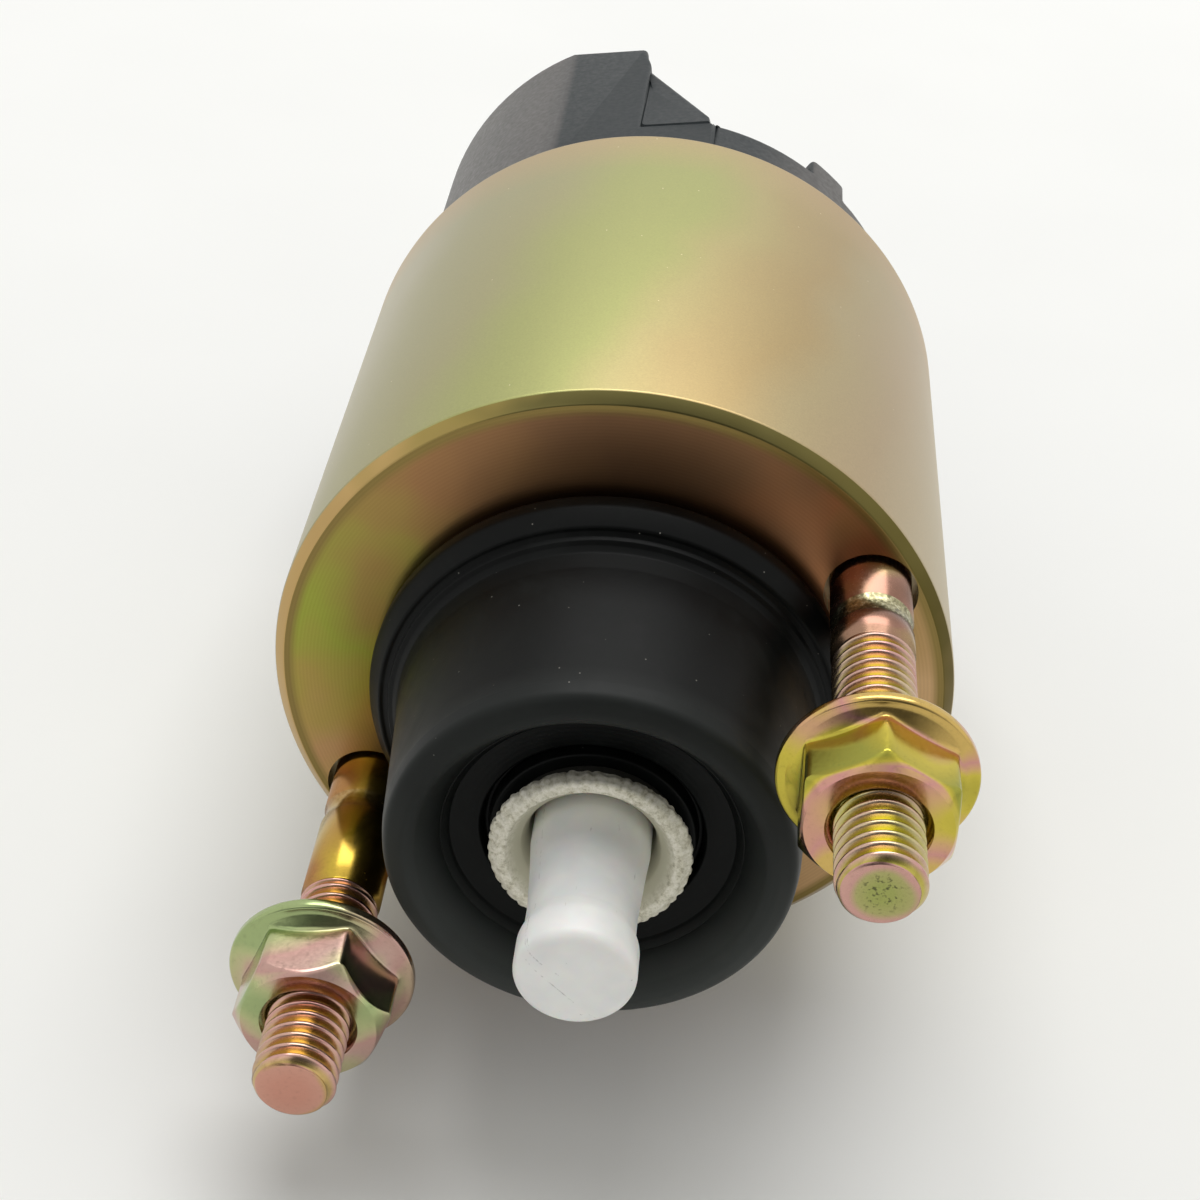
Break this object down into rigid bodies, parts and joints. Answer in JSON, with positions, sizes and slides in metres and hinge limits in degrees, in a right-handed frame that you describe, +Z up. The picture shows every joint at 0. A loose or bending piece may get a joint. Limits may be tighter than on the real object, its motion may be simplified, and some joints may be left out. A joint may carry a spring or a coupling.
{
  "type": "starter solenoid",
  "caption": "Cylindrical starter motor solenoid with yellow zinc-plated can, two threaded mounting studs with flange nuts, black rubber boot, push rod and moulded terminal cap.",
  "frame": {"origin": "centre of the can, in the plane of the mounting face", "axes": "+Y runs along the can from the mounting face to the terminal cap, +Z is up when the can lies on its side, +X to the right seen from the push rod end"},
  "size_m": [0.052, 0.1103, 0.052],
  "materials": {
    "zinc_can": "satin yellow passivated zinc plating on drawn steel",
    "zinc_fastener": "bright yellow passivated zinc plating, iridescent",
    "black_rubber": "matt black moulded rubber, a little dust",
    "cream_collar": "rough cream moulding with fine ribs",
    "white_nylon": "smooth translucent white nylon",
    "spring_steel": "drawn spring wire",
    "soft_iron": "turned soft iron",
    "brass_tube": "drawn brass",
    "bobbin_plastic": "moulded bobbin plastic",
    "enamelled_copper": "enamelled copper wire",
    "wrap_cloth": "woven insulating tape",
    "fibre_board": "pressed insulating board",
    "bare_copper": "rolled copper",
    "seal_rubber": "flat rubber seal",
    "moulded_cap": "dark grey mineral filled phenolic moulding",
    "terminal_copper": "copper stud",
    "bright_zinc": "bright zinc plating",
    "tinned_brass": "tinned brass strip"
  },
  "bodies": {
    "can": {"housing": "zinc_can", "stud_right": "zinc_fastener", "stud_left": "zinc_fastener", "nut_right": "zinc_fastener", "nut_left": "zinc_fastener", "boot": "black_rubber", "sleeve": "brass_tube", "return_spring": "spring_steel", "bobbin": "bobbin_plastic", "pull_winding": "enamelled_copper", "hold_winding": "enamelled_copper", "winding_wrap": "wrap_cloth", "core": "soft_iron", "contact_return_spring": "spring_steel", "gasket": "seal_rubber", "cap": "moulded_cap", "battery_stud": "terminal_copper", "motor_stud": "terminal_copper", "battery_washer": "bright_zinc", "motor_washer": "bright_zinc", "battery_base_nut": "bright_zinc", "motor_base_nut": "bright_zinc", "battery_lock_washer": "spring_steel", "motor_lock_washer": "spring_steel", "battery_nut": "bright_zinc", "motor_nut": "bright_zinc", "spade_terminal": "tinned_brass", "spade_rivet": "brass_tube", "lead_switch": "enamelled_copper", "lead_motor": "enamelled_copper"},
    "plunger_set": {"plunger": "soft_iron", "collar": "cream_collar", "drive_spring": "spring_steel"},
    "rod": {"push_rod": "white_nylon"},
    "contact_shaft": {"contact_rod": "soft_iron", "contact_spring": "spring_steel", "contact_clip": "spring_steel"},
    "contact_plate": {"lower_insulator": "fibre_board", "contact_disc": "bare_copper", "upper_insulator": "fibre_board"}
  },
  "joints": [
    {"name": "plunger_pull", "type": "slide", "parent": "can", "child": "plunger_set", "axis": [0, 1, 0], "range_m": [0, 0.009], "stiffness_N_per_m": 900, "springref_m": -0.004, "deforming": ["return_spring", "boot"]},
    {"name": "rod_press", "type": "slide", "parent": "plunger_set", "child": "rod", "axis": [0, 1, 0], "range_m": [0, 0.0035], "stiffness_N_per_m": 3000, "springref_m": -0.003, "deforming": ["drive_spring"]},
    {"name": "contact_close", "type": "slide", "parent": "can", "child": "contact_shaft", "axis": [0, 1, 0], "range_m": [0, 0.00225], "stiffness_N_per_m": 600, "springref_m": -0.003, "deforming": ["contact_return_spring"]},
    {"name": "contact_overtravel", "type": "slide", "parent": "contact_shaft", "child": "contact_plate", "axis": [0, -1, 0], "range_m": [0, 0.0006], "stiffness_N_per_m": 4000, "springref_m": -0.001, "deforming": ["contact_spring"]}
  ],
  "couplings": [
    {"joint": "contact_close", "follows": "plunger_pull", "ratio": 0.25}
  ]
}
